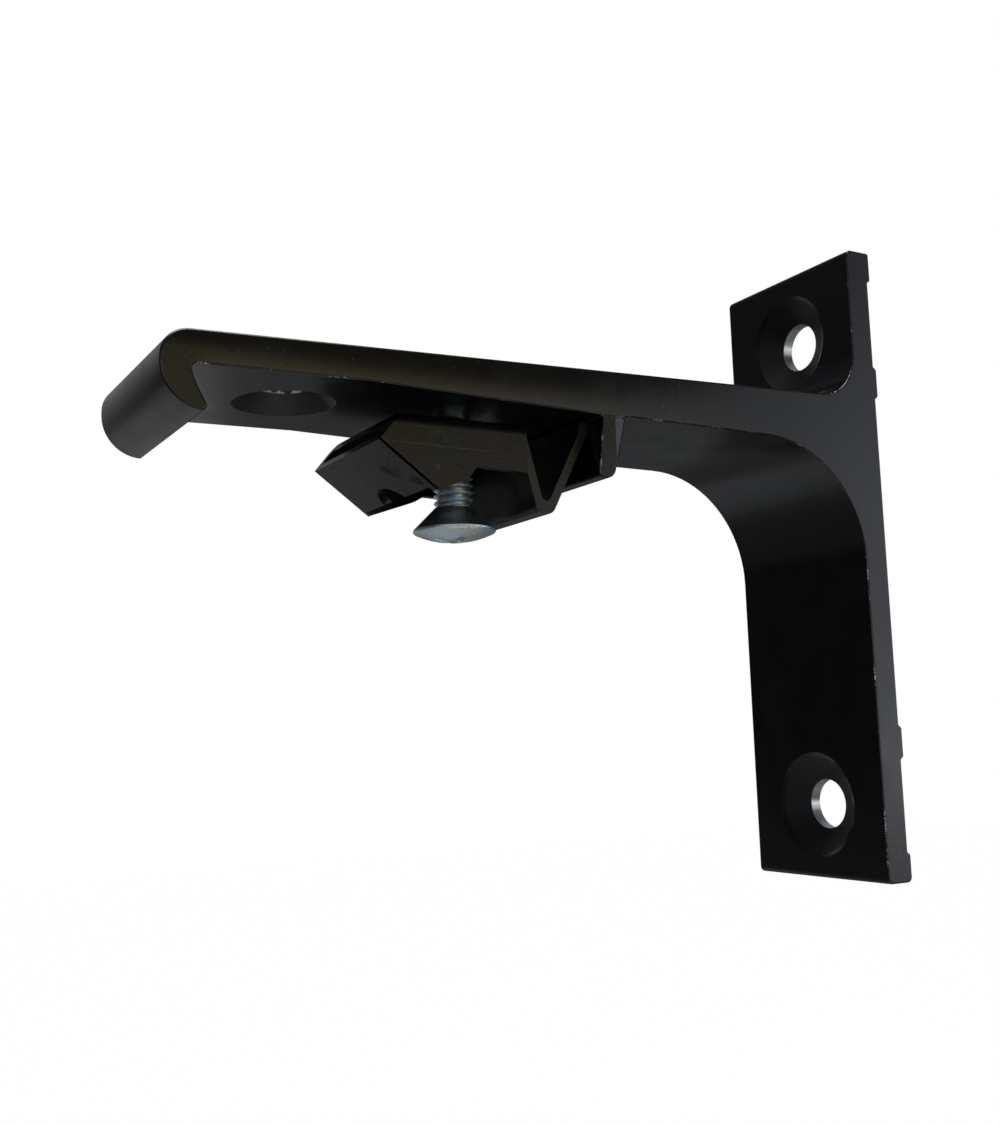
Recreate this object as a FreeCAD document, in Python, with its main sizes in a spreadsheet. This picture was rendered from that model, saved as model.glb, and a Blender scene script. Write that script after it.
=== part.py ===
import FreeCAD, Part
import math
import os
import Sketcher

# Curtain pole bracket with a lever clamp, in millimetres.
# The origin is midway between the two wall screw holes, on the plane of the wall.
# +Z is up, the arm reaches out along -Y, and X runs across the width.

Vector = FreeCAD.Vector
document = FreeCAD.newDocument("curtain_pole_bracket")
sheet = document.addObject("Spreadsheet::Sheet", "sizes")
# Two places nearer to each other than this count as the same.
NEAR = 0.001

# Every size of the object: name, value, meaning. "out" is the distance from the wall,
# and a "reach" is the distance out from the rib's face on the clamp's side.
SIZES = [
    ("width", 20.6, "length of extrusion that the bracket is cut to"),
    ("padproud", 0.42, "how far the back pads stand proud"),
    ("padheight", 3.1, "height of an inner back pad"),
    ("padgap", 5.25, "wall hole centre to the edge of a pad"),
    ("padramp", 0.35, "height of the sloping side of a pad"),
    ("platethick", 3.1, "wall plate thickness without the pads"),
    ("holerise", 26.9, "wall hole centre above the origin"),
    ("topend", 8.45, "upper hole centre to the plate's top"),
    ("bottomend", 8.15, "lower hole centre to the plate's bottom"),
    ("armtop", 18.28, "height of the arm's top line at the wall"),
    ("armfall", 0.0247, "fall of the arm's top line per mm out"),
    ("underroot", 12.515, "height of the arm's underside at the wall"),
    ("underrise", 0.012, "rise of the underside per mm out"),
    ("ribout", 35.0, "out to the wall side of the rib's root"),
    ("ribroot", 2.7, "thickness of the rib at its root"),
    ("ribshelf", 12.85, "height of the rib's root on the clamp side"),
    ("ribbottom", 6.6, "height of the rib's lower end"),
    ("riblean", 1.61, "how far the rib leans out on the wall side"),
    ("ribtip", 1.79, "thickness of the rib at its lower end"),
    ("seatout", 62.4, "out to the start of the rail seat"),
    ("seatstart", 13.57, "height of the rail seat at its start"),
    ("seatend", 13.37, "height of the rail seat at the nose"),
    ("reach", 81.42, "out to the front of the nose"),
    ("nosewall", 2.55, "thickness of the nose at the seat"),
    ("nosebelly", 3.02, "thickness of the nose at half its height"),
    ("bellyrise", 2.45, "height of that place above the tip"),
    ("nosetip", 4.3, "thickness of the nose at its tip"),
    ("nosebottom", 9.4, "height of the nose's tip"),
    ("rooftop", 5.1, "hollow radius between arm top and plate"),
    ("roofunder", 13.3, "hollow radius between underside and plate"),
    ("platetopround", 0.8, "radius of the plate's top front corner"),
    ("platebackround", 0.3, "radius of the plate's top back corner"),
    ("platelowround", 0.6, "radius of the plate's bottom corners"),
    ("ribbackround", 1.1, "radius of the rib's end on the wall side"),
    ("ribfrontround", 0.35, "radius of the rib's end on the clamp side"),
    ("rootround", 0.3, "hollow radius at the root of the rib"),
    ("browround", 2.6, "radius of the nose's top corner"),
    ("chinround", 3.9, "radius of the nose's bottom corner"),
    ("tipround", 0.45, "radius of the nose's tip"),
    ("bellyround", 5.0, "hollow radius of the nose's inner face"),
    ("seatround", 0.35, "hollow radius where seat and nose meet"),
    ("endround", 0.2, "radius of the edges of the two cut faces"),
    ("wallbore", 2.75, "radius of a wall screw hole"),
    ("wallsink", 5.9, "radius of its countersink"),
    ("wallcone", 60.0, "half angle of that countersink in degrees"),
    ("cutterlength", 8.0, "length that the countersink tool cuts in front"),
    ("armholeout", 66.85, "out to the hole in the rail seat"),
    ("armbore", 2.45, "radius of the hole in the rail seat"),
    ("armsink", 4.9, "radius of its countersink"),
    ("armcone", 45.0, "half angle of that countersink in degrees"),
    ("screwreach", 11.42, "reach of the clamp screw"),
    ("screwradius", 2.0, "radius of the clamp screw"),
    ("threadgap", 0.05, "clearance around the screw in the arm"),
    ("screwtop", 18.0, "height of the screw's end"),
    ("screwpoint", 0.5, "bevel at the screw's end"),
    ("headradius", 4.125, "radius of the screw's head"),
    ("conebase", 2.35, "height of the wide end of the head's cone"),
    ("rimland", 0.3, "height of the straight rim of the head"),
    ("domeheight", 0.94, "height of the raised part of the head"),
    ("crossspan", 3.5, "width of the cross recess"),
    ("crossslot", 0.9, "width of one arm of the cross"),
    ("crossdepth", 1.8, "depth of the cross recess"),
    ("clampwidth", 16.0, "width of the clamp"),
    ("clampshift", 0.2, "shift of the clamp to the far side"),
    ("sheetthick", 0.9, "thickness of the clamp's sheet"),
    ("clamptop", 11.9, "height of the clamp's top face"),
    ("topreach", 20.64, "reach of the front of the clamp's top plate"),
    ("lipreach", 22.98, "reach of the clamp's front lip"),
    ("lipheight", 9.0, "height of the front lip"),
    ("webangle", 36.6, "slope of the front web in degrees"),
    ("weblength", 7.2, "length of the front web down its slope"),
    ("nearcut", 13.97, "reach of the low corner of the near flange"),
    ("nearlow", 5.86, "height of that corner"),
    ("nearstep", 12.88, "reach of the high corner of the near flange"),
    ("nearhigh", 7.26, "height of that corner"),
    ("farcut", 12.13, "reach of the low corner of the far flange"),
    ("farlow", 6.46, "height of that corner"),
    ("farstep", 10.99, "reach of the high corner of the far flange"),
    ("farhigh", 7.12, "height of that corner"),
    ("flangelow", 6.97, "height of the flanges at the spring leg"),
    ("legreach", 6.72, "reach of the leg's front face at the height below"),
    ("legheight", 4.77, "height at which that is measured"),
    ("legangle", 14.8, "lean of the front leg of the V in degrees"),
    ("backangle", 27.5, "lean of the rear leg of the V in degrees"),
    ("veeheight", 3.45, "height of the inside of the V"),
    ("veeinside", 0.55, "inside radius of the V's bend"),
    ("veeoutside", 1.2, "outside radius of the V's bend"),
    ("footgap", 0.1, "clearance between the foot and the rib"),
    ("foottop", 12.65, "height of the foot's top"),
    ("bendinside", 0.3, "inside radius of the other bends"),
    ("webround", 0.3, "radius of the fold between web and far flange"),
    ("seamgap", 0.25, "width of the open seam between web and near flange"),
    ("clampbore", 2.4, "radius of the screw hole in the clamp"),
    ("notchradius", 2.4, "radius of the notch in the web"),
    ("notchshift", 0.7, "shift of the notch to the far side"),
    ("legstep", 0.15, "how much narrower the V is on each side"),
]
for row, (name, value, meaning) in enumerate(SIZES, start=1):
    sheet.set("A%d" % row, name)
    sheet.set("B%d" % row, str(value))
    sheet.setAlias("B%d" % row, name)
    sheet.set("C%d" % row, meaning)
document.recompute()


def formula(text):
    """Turn the words of a formula that are names in the sheet into references to it."""
    names = {name for name, _, _ in SIZES}
    words = []
    for word in text.replace("(", " ( ").replace(")", " ) ").split():
        words.append("sizes." + word if word in names else word)
    text = " ".join(words)
    for function in ("sin", "cos", "tan"):
        text = text.replace(function + " (", function + "(")
    return text


def origin_plane(body, role):
    """Return the body's own origin plane that has this role."""
    return [part for part in body.Origin.OriginFeatures if part.Role == role][0]


def new_sketch(body, name, role="YZ_Plane", offset=None, turn=None, axis=Vector(0, 0, 1)):
    """Add a sketch on an origin plane, moved and turned about an axis of it by formulas."""
    sketch = body.newObject("Sketcher::SketchObject", name)
    sketch.AttachmentSupport = (origin_plane(body, role), [""])
    sketch.MapMode = "FlatFace"
    if offset is not None:
        for letter, text in zip("xyz", offset):
            sketch.setExpression("AttachmentOffset.Base." + letter, formula(text))
    if turn is not None:
        sketch.AttachmentOffset = FreeCAD.Placement(Vector(0, 0, 0), FreeCAD.Rotation(axis, 30))
        sketch.setExpression("AttachmentOffset.Rotation.Angle", formula(turn))
    return sketch


def polygon(sketch, corners):
    """Draw a closed polygon whose corners, each with a name, are set by pairs of formulas.

    The corners start on a circle, in order, and the constraints then pull each one
    to its own place.
    """
    count = len(corners)
    start = []
    for index in range(count):
        angle = 2 * math.pi * index / count
        start.append(Vector(10 * math.cos(angle), 10 * math.sin(angle), 0))
    for index in range(count):
        sketch.addGeometry(Part.LineSegment(start[index], start[(index + 1) % count]), False)
    for index in range(count):
        after = (index + 1) % count
        sketch.addConstraint(Sketcher.Constraint("Coincident", index, 2, after, 1))
    for index, (across, up) in enumerate(corners.values()):
        point = start[index]
        for kind, text, value in (("DistanceX", across, point.x), ("DistanceY", up, point.y)):
            number = sketch.addConstraint(Sketcher.Constraint(kind, -1, 1, index, 1, value))
            sketch.setExpression("Constraints[%d]" % number, formula(text))
    document.recompute()


def circle(sketch, across, up, radius):
    """Draw a circle whose centre and radius are set by formulas."""
    number = sketch.addGeometry(Part.Circle(Vector(1, 1, 0), Vector(0, 0, 1), 1), False)
    for kind, text in (("DistanceX", across), ("DistanceY", up)):
        place = sketch.addConstraint(Sketcher.Constraint(kind, -1, 1, number, 3, 1.0))
        sketch.setExpression("Constraints[%d]" % place, formula(text))
    size = sketch.addConstraint(Sketcher.Constraint("Radius", number, 1.0))
    sketch.setExpression("Constraints[%d]" % size, formula(radius))
    document.recompute()


def extrude(body, name, sketch, length, cut=False, midplane=True, reverse=False):
    """Pad or pocket a sketch by a length that is set by a formula."""
    feature = body.newObject("PartDesign::Pocket" if cut else "PartDesign::Pad", name)
    feature.Profile = sketch
    feature.SideType = "Symmetric" if midplane else "One side"
    feature.setExpression("Length", formula(length))
    feature.Reversed = reverse
    sketch.Visibility = False
    document.recompute()
    return feature


def turned(body, name, sketch, axis="H_Axis", cut=True):
    """Cut away, or add, the solid that the sketch sweeps in a full turn about its own axis."""
    feature = body.newObject("PartDesign::Groove" if cut else "PartDesign::Revolution", name)
    feature.Profile = sketch
    feature.ReferenceAxis = (sketch, [axis])
    feature.Angle = 360
    sketch.Visibility = False
    document.recompute()
    return feature


def corner_place(sketch, corners, name):
    """Return the place that a named corner of a sketch has, as distance across and height."""
    point = sketch.Geometry[list(corners).index(name)].StartPoint
    return point.x, point.y


def lies_at(point, place):
    """Tell whether a point of a solid lies on a sketch's corner, seen along X."""
    return abs(point.y - place[0]) < NEAR and abs(point.z - place[1]) < NEAR


def crosswise_edges(shape, sketch, corners, names):
    """Find the edges along X that grew from the named corners of a sketch."""
    found = []
    places = [corner_place(sketch, corners, name) for name in names]
    for index, edge in enumerate(shape.Edges, start=1):
        ends = [vertex.Point for vertex in edge.Vertexes]
        if len(ends) == 2 and any(all(lies_at(end, place) for end in ends) for place in places):
            found.append("Edge%d" % index)
    return found


def side_edges(shape, sketch, corners, first, second, sides):
    """Find the edges between two named corners of a sketch that lie at these places along X."""
    found = []
    places = [corner_place(sketch, corners, name) for name in (first, second)]
    for index, edge in enumerate(shape.Edges, start=1):
        start, end = edge.Vertexes[0].Point, edge.Vertexes[-1].Point
        if not any(abs(start.x - side) < NEAR and abs(end.x - side) < NEAR for side in sides):
            continue
        if (lies_at(start, places[0]) and lies_at(end, places[1])) or (
                lies_at(start, places[1]) and lies_at(end, places[0])):
            found.append("Edge%d" % index)
    return found


def side_places(shape):
    """Return the places along X of a solid's far and near side."""
    places = [vertex.X for vertex in shape.Vertexes]
    return min(places), max(places)


def rounded(body, name, base, names, radius):
    """Round the named edges of a feature with a radius from the sheet."""
    if not names:
        raise ValueError(name + " has found no edges")
    feature = body.newObject("PartDesign::Fillet", name)
    feature.Base = (base, names)
    feature.setExpression("Radius", formula(radius))
    document.recompute()
    return feature


def smaller(after, before):
    """Check that a cut has taken material away."""
    if not after.Shape.Volume < before.Shape.Volume:
        raise ValueError(after.Name + " has cut nothing")


# Bracket: one profile of wall plate, arm, rib and nose, cut to the width
bracket = document.addObject("PartDesign::Body", "bracket")
bracket.Label = "bracket"
profile = new_sketch(bracket, "bracket_profile")
front = "- platethick - padproud"
corners = {
    "plate top back": ("0", "holerise + topend"),
    "top pad start": ("0", "holerise + padgap"),
    "top pad ramp": ("- padproud", "holerise + padgap - padramp"),
    "upper pad ramp": ("- padproud", "holerise - padgap + padramp"),
    "upper pad start": ("0", "holerise - padgap"),
    "upper pad end": ("0", "holerise - padgap - padheight"),
    "middle hollow top": ("- padproud", "holerise - padgap - padheight - padramp"),
    "middle hollow bottom": ("- padproud", "- holerise + padgap + padheight + padramp"),
    "lower pad end": ("0", "- holerise + padgap + padheight"),
    "lower pad start": ("0", "- holerise + padgap"),
    "lower pad ramp": ("- padproud", "- holerise + padgap - padramp"),
    "bottom pad ramp": ("- padproud", "- holerise - padgap + padramp"),
    "bottom pad start": ("0", "- holerise - padgap"),
    "plate bottom back": ("0", "- holerise - bottomend"),
    "plate bottom front": (front, "- holerise - bottomend"),
    "underside at plate": (front, "underroot + underrise * ( platethick + padproud )"),
    "rib root back": ("- ribout", "underroot + underrise * ribout"),
    "rib end back": ("- ribout - riblean", "ribbottom"),
    "rib end front": ("- ribout - riblean - ribtip", "ribbottom"),
    "rib root front": ("- ribout - ribroot", "ribshelf"),
    "seat start": ("- seatout", "seatstart"),
    "seat end": ("- reach + nosewall", "seatend"),
    "nose belly": ("- reach + nosebelly", "nosebottom + bellyrise"),
    "nose tip": ("- reach + nosetip", "nosebottom"),
    "nose chin": ("- reach", "nosebottom"),
    "nose brow": ("- reach", "armtop - armfall * reach"),
    "arm top at plate": (front, "armtop - armfall * ( platethick + padproud )"),
    "plate top front": (front, "holerise + topend"),
}
polygon(profile, corners)
last = extrude(bracket, "bracket_bar", profile, "width")
for name, places, radius in (
    ("arm_top_hollow", ["arm top at plate"], "rooftop"),
    ("arm_under_hollow", ["underside at plate"], "roofunder"),
    ("nose_brow", ["nose brow"], "browround"),
    ("nose_chin", ["nose chin"], "chinround"),
    ("nose_belly", ["nose belly"], "bellyround"),
    ("nose_tip", ["nose tip"], "tipround"),
    ("seat_corner", ["seat end"], "seatround"),
    ("plate_top_front", ["plate top front"], "platetopround"),
    ("plate_top_back", ["plate top back"], "platebackround"),
    ("plate_bottom", ["plate bottom back", "plate bottom front"], "platelowround"),
    ("rib_end_back", ["rib end back"], "ribbackround"),
    ("rib_end_front", ["rib end front"], "ribfrontround"),
    ("rib_root", ["rib root back", "rib root front"], "rootround"),
):
    last = rounded(bracket, name, last, crosswise_edges(last.Shape, profile, corners, places), radius)
rims = []
for index, edge in enumerate(last.Shape.Edges, start=1):
    box = edge.BoundBox
    if box.XLength < NEAR and any(abs(box.Center.x - side) < NEAR for side in side_places(last.Shape)):
        rims.append("Edge%d" % index)
last = rounded(bracket, "cut_faces", last, rims, "endround")

# Wall holes: a bore and a wide cone, whose tool also clips the hollow above the arm
section = new_sketch(bracket, "wall_hole_section", offset=("0", "holerise", "0"))
sinkend = front + " + ( wallsink - wallbore ) / tan ( wallcone )"
polygon(section, {
    "axis back": ("padproud", "0"),
    "bore back": ("padproud", "wallbore"),
    "cone small end": (sinkend, "wallbore"),
    "cone wide end": (front, "wallsink"),
    "cutter front": (front + " - cutterlength", "wallsink"),
    "axis front": (front + " - cutterlength", "0"),
})
whole = last
last = turned(bracket, "wall_hole_upper", section)
smaller(last, whole)
both = bracket.newObject("PartDesign::Mirrored", "wall_hole_lower")
both.Originals = [last]
both.MirrorPlane = (origin_plane(bracket, "XY_Plane"), [""])
document.recompute()
smaller(both, last)
bracket.Tip = both

# Hole in the rail seat: upright bore with a countersink in the underside
section = new_sketch(bracket, "arm_hole_section", offset=("- armholeout", "0", "0"))
roof = "seatstart - ( seatstart - seatend ) * ( armholeout - seatout ) / ( reach - nosewall - seatout )"
polygon(section, {
    "axis below": ("0", roof + " - armbore"),
    "cone wide end": ("armsink + armbore * tan ( armcone )", roof + " - armbore"),
    "cone small end": ("armbore", roof + " + ( armsink - armbore ) / tan ( armcone )"),
    "bore top": ("armbore", "armtop + armbore"),
    "axis top": ("0", "armtop + armbore"),
})
whole = both
last = turned(bracket, "arm_hole", section, "V_Axis")
smaller(last, whole)

# Hole of the clamp screw, as wide as the screw and its clearance
screwplace = "- ribout - ribroot - screwreach"
section = new_sketch(bracket, "screw_hole_section", offset=(screwplace, "0", "0"))
polygon(section, {
    "axis below": ("0", "ribshelf - screwradius"),
    "wall below": ("screwradius + threadgap", "ribshelf - screwradius"),
    "wall above": ("screwradius + threadgap", "armtop + screwradius"),
    "axis above": ("0", "armtop + screwradius"),
})
whole = last
last = turned(bracket, "screw_hole", section, "V_Axis")
smaller(last, whole)
bracket.Tip = last

# Formulas that the outlines of the clamp share
ribface = "- ribout - ribroot"
middle = ("0", "0", "- clampshift")
under = "( clamptop - sheetthick )"
fold = "( bendinside + sheetthick )"
shoulder = "( clamptop - bendinside - sheetthick )"
leg = ribface + " - legreach"
legback = leg + " + sheetthick / cos ( legangle )"
flangeback = legback + " - ( " + shoulder + " - legheight ) * tan ( legangle )"
lip = ribface + " - lipreach"
webend = lip + " + weblength * cos ( webangle )"
webfoot = "lipheight - weblength * sin ( webangle )"

# Clamp: top plate, flanges and web as one block, rounded along its folds
clamp = document.addObject("PartDesign::Body", "clamp")
clamp.Label = "clamp"
block = new_sketch(clamp, "clamp_outline", offset=middle)
corners = {
    "top front": (ribface + " - topreach", "clamptop"),
    "top back": (flangeback, "clamptop"),
    "flange back": (flangeback, "flangelow"),
    "far step high": (ribface + " - farstep", "farhigh"),
    "far step low": (ribface + " - farcut", "farlow"),
    "web foot": (webend, webfoot),
    "lip": (lip, "lipheight"),
}
polygon(block, corners)
last = extrude(clamp, "clamp_block", block, "clampwidth")
far, near = side_places(last.Shape)
folds = side_edges(last.Shape, block, corners, "top front", "top back", (far, near))
folds += crosswise_edges(last.Shape, block, corners, ["top back"])
last = rounded(clamp, "top_folds", last, folds, fold)
folds = side_edges(last.Shape, block, corners, "lip", "web foot", (far,))
last = rounded(clamp, "web_fold", last, folds, "webround")

# Inside of the clamp: all that lies within the sheet, open below and at the mouth
inside = new_sketch(clamp, "clamp_inside", offset=middle)
innerend = webend + " + sheetthick * sin ( webangle )"
innerfoot = webfoot + " + sheetthick * cos ( webangle )"
beyond = "( weblength + sheetthick )"
corners = {
    "mouth top": (lip + " - sheetthick", under),
    "roof back": (leg + " - ( " + under + " - legheight ) * tan ( legangle )", under),
    "leg low": (leg + " + legheight * tan ( legangle )", "0"),
    "web below": (innerend + " - " + innerfoot + " * tan ( webangle )", "0"),
    "web foot": (innerend, innerfoot),
    "web beyond lip": (innerend + " - " + beyond + " * cos ( webangle )",
                       innerfoot + " + " + beyond + " * sin ( webangle )"),
}
polygon(inside, corners)
whole = last
last = extrude(clamp, "clamp_hollow", inside, "clampwidth - 2 * sheetthick", cut=True)
smaller(last, whole)
folds = []
roof = corner_place(inside, corners, "roof back")[1]
for index, edge in enumerate(last.Shape.Edges, start=1):
    bounds = edge.BoundBox
    level = abs(bounds.ZMin - roof) < NEAR and bounds.ZLength < NEAR
    if level and bounds.XLength < NEAR and far + NEAR < bounds.XMin and bounds.XMax < near - NEAR:
        folds.append("Edge%d" % index)
last = rounded(clamp, "inside_folds", last, folds, "bendinside")

# The near flange is cut away further than the far one
nearside = new_sketch(clamp, "near_cutout", offset=middle)
polygon(nearside, {
    "web foot": (webend, webfoot),
    "near step low": (ribface + " - nearcut", "nearlow"),
    "near step high": (ribface + " - nearstep", "nearhigh"),
    "flange back": (flangeback, "flangelow"),
    "below flange back": (flangeback, "0"),
    "below web foot": (webend, "0"),
})
whole = last
last = extrude(clamp, "near_trim", nearside, "clampwidth", cut=True, midplane=False, reverse=True)
smaller(last, whole)

# The web ends at the near flange with an open seam, cut along the corner's diagonal
seam = new_sketch(clamp, "seam_section", "XZ_Plane", turn="- webangle", axis=Vector(1, 0, 0),
                  offset=("clampwidth / 2 - clampshift", webfoot, "- ( " + webend + " )"))
half = "seamgap / 2 * cos ( 45 )"
polygon(seam, {
    "outer right": ("sheetthick + " + half, "- sheetthick + " + half),
    "inner right": ("- 2 * sheetthick + " + half, "2 * sheetthick + " + half),
    "inner left": ("- 2 * sheetthick - " + half, "2 * sheetthick - " + half),
    "outer left": ("sheetthick - " + half, "- sheetthick - " + half),
})
whole = last
last = extrude(clamp, "seam", seam, "4 * weblength", cut=True)
smaller(last, whole)

# The V-shaped spring leg with its foot, across nearly the whole width
vee = new_sketch(clamp, "vee_outline", offset=middle)
veeacross = legback + " - ( veeheight - legheight ) * tan ( legangle )"
backfar = veeacross + " + sheetthick / cos ( backangle )"
ribrise = "( riblean + ribtip - ribroot ) / ( ribshelf - ribbottom )"
footface = ribface + " - footgap"
# The height at which the rear leg's wall side meets the foot, which runs along the rib
kneerise = ("( ( " + footface + " ) - ( " + backfar + " ) - " + ribrise + " * ( ribshelf - veeheight ) )"
            " / ( tan ( backangle ) - " + ribrise + " )")
knee = "( veeheight + " + kneerise + " )"
tip = ("( veeheight - sheetthick * ( 1 / cos ( legangle ) + 1 / cos ( backangle ) )"
       " / ( tan ( legangle ) + tan ( backangle ) ) )")
footback = footface + " - " + ribrise + " * ( ribshelf - foottop )"
corners = {
    "leg top front": (leg + " - ( " + shoulder + " - legheight ) * tan ( legangle )", shoulder),
    "leg top back": (flangeback, shoulder),
    "bend inside": (veeacross, "veeheight"),
    "knee front": (veeacross + " + ( " + knee + " - veeheight ) * tan ( backangle )", knee),
    "foot top front": (footback + " - sheetthick", "foottop"),
    "foot top back": (footback, "foottop"),
    "knee back": (backfar + " + ( " + knee + " - veeheight ) * tan ( backangle )", knee),
    "bend outside": (leg + " + ( legheight - " + tip + " ) * tan ( legangle )", tip),
}
polygon(vee, corners)
last = extrude(clamp, "vee", vee, "clampwidth - 2 * legstep")
for name, place, radius in (
    ("vee_inside", "bend inside", "veeinside"),
    ("vee_outside", "bend outside", "veeoutside"),
    ("knee_inside", "knee front", "bendinside"),
    ("knee_outside", "knee back", fold),
):
    last = rounded(clamp, name, last, crosswise_edges(last.Shape, vee, corners, [place]), radius)

# Holes of the clamp: one for the screw in the top, one half-round notch in the web
section = new_sketch(clamp, "clamp_hole", "XY_Plane")
circle(section, "0", screwplace, "clampbore")
whole = last
last = extrude(clamp, "clamp_bore", section, "4 * clamptop", cut=True)
smaller(last, whole)
section = new_sketch(clamp, "notch_section", offset=(webend, webfoot, "- notchshift"), turn="90 - webangle")
polygon(section, {
    "outer end": ("- 2 * sheetthick", "0"),
    "inner end": ("3 * sheetthick", "0"),
    "inner wall": ("3 * sheetthick", "notchradius"),
    "outer wall": ("- 2 * sheetthick", "notchradius"),
})
whole = last
last = turned(clamp, "web_notch", section)
smaller(last, whole)
clamp.Tip = last

# Clamp screw: raised countersunk head below, plain shank above
screw = document.addObject("PartDesign::Body", "clamp_screw")
screw.Label = "clamp_screw"
section = new_sketch(screw, "screw_section", offset=(screwplace, "0", "0"))
rim = "( conebase - rimland )"
corners = {
    "dome middle": ("0", rim + " - domeheight"),
    "end middle": ("0", "screwtop"),
    "end edge": ("screwradius - screwpoint", "screwtop"),
    "shank top": ("screwradius", "screwtop - screwpoint"),
    "shank bottom": ("screwradius", "conebase + headradius - screwradius"),
    "cone edge": ("headradius", "conebase"),
    "rim edge": ("headradius", rim),
}
polygon(section, corners)
# The line that closes the outline becomes the arc of the dome, whose centre is on the axis
closing = len(corners) - 1
rimedge = section.Geometry[closing].StartPoint
lowest = section.Geometry[0].StartPoint
sagitta = rimedge.y - lowest.y
curve = (rimedge.x ** 2 + sagitta ** 2) / (2 * sagitta)
centre = Vector(0, lowest.y + curve, 0)
section.toggleConstruction(closing)
swing = math.asin(rimedge.x / curve)
arc = section.addGeometry(Part.ArcOfCircle(
    Part.Circle(centre, Vector(0, 0, 1), curve), -math.pi / 2, -math.pi / 2 + swing), False)
section.addConstraint(Sketcher.Constraint("Coincident", arc, 1, 0, 1))
section.addConstraint(Sketcher.Constraint("Coincident", arc, 2, closing, 1))
section.addConstraint(Sketcher.Constraint("PointOnObject", arc, 3, -2))
document.recompute()
last = turned(screw, "screw_blank", section, "V_Axis", cut=False)
cross = new_sketch(screw, "cross_recess", "XY_Plane", offset=("0", screwplace, rim + " - domeheight"))
slot = "crossslot / 2"
span = "crossspan / 2"
polygon(cross, {
    "south right": (slot, "- " + span), "inner south east": (slot, "- " + slot),
    "east low": (span, "- " + slot), "east high": (span, slot),
    "inner north east": (slot, slot), "north right": (slot, span),
    "north left": ("- " + slot, span), "inner north west": ("- " + slot, slot),
    "west high": ("- " + span, slot), "west low": ("- " + span, "- " + slot),
    "inner south west": ("- " + slot, "- " + slot), "south left": ("- " + slot, "- " + span),
})
whole = last
last = extrude(screw, "cross_cut", cross, "crossdepth", cut=True, midplane=False, reverse=True)
smaller(last, whole)
screw.Tip = last
document.recompute()

os.makedirs("parts", exist_ok=True)
for body in (bracket, clamp, screw):
    for thing in [body] + list(body.Group):
        if "Invalid" in thing.State or "Error" in thing.State:
            raise ValueError(thing.Name + " did not rebuild")
    if body.Shape.isNull() or not body.Shape.isValid() or len(body.Shape.Solids) != 1:
        raise ValueError(body.Name + " is not one valid solid")
    body.Placement = FreeCAD.Placement(Vector(0, 0, 0), FreeCAD.Rotation())
    body.Shape.exportStep("parts/" + body.Label + ".step")
    print(body.Label, round(body.Shape.Volume, 1), "cubic mm")
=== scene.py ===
# %% [markdown]
# # A curtain pole bracket with a lever clamp
#
# The object is a black wall bracket, cut about 20 mm wide from one aluminium extrusion. Under its
# arm hangs a small clamp, folded from steel sheet, and one zinc-plated screw. The solids of the
# three parts already exist. This lesson gives them their finishes, cuts the screw's thread, and
# lights them as in a plain studio.

# %% Load the solids
import math

import bpy
import numpy as np
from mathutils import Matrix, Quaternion, Vector


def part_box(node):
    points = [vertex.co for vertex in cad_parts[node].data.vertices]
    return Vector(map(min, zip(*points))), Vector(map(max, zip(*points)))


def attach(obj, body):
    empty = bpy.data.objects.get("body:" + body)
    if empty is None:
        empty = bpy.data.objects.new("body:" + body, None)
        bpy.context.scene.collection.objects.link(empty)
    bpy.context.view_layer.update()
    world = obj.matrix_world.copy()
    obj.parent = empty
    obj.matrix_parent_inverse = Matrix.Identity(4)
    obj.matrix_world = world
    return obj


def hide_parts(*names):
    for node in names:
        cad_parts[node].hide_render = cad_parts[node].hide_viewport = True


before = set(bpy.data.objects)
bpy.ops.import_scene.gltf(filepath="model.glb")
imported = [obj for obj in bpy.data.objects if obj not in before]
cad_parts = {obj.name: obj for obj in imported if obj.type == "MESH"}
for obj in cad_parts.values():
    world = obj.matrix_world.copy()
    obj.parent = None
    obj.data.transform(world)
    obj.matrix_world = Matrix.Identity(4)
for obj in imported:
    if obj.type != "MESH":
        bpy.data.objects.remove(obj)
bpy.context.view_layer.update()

print("nodes:", sorted(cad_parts))

# %% [markdown]
# ## The camera
#
# The photograph was taken from the front right and a little below the arm, from about 15 cm away.
# So near, the perspective is strong: the near edge of the plate looks taller than the far one.
# The place, the turn and the focal length were worked out from points that can be measured on
# the bracket. Blender keeps the sensor's width for the longer side of the picture, which here is
# the height of 1125 pixels.

# %% Camera
MM = 0.001                                              # one millimetre, in Blender's metres
CAMERA_PLACE = (114.388, -109.752, -18.211)             # in millimetres
CAMERA_TURN = (0.575465, 0.644996, 0.387089, 0.320908)  # a quaternion, w first
FOCAL_PX, LONG_SIDE_PX = 1315.62, 1125
SENSOR_MM = 36.0


def add_camera(place_mm, turn, focal_px):
    """Put a camera at a place, turned by a quaternion, with its focal length given in pixels."""
    data = bpy.data.cameras.new("studio_camera")
    data.sensor_width = SENSOR_MM
    data.lens = focal_px * SENSOR_MM / LONG_SIDE_PX
    data.clip_start = 5 * MM
    data.clip_end = 20.0
    camera = bpy.data.objects.new("studio_camera", data)
    camera.rotation_mode = "QUATERNION"
    camera.rotation_quaternion = Quaternion(turn)
    camera.location = Vector(place_mm) * MM
    bpy.context.scene.collection.objects.link(camera)
    bpy.context.scene.camera = camera
    return camera


camera = add_camera(CAMERA_PLACE, CAMERA_TURN, FOCAL_PX)
print("lens", round(camera.data.lens, 2), "mm")

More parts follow.
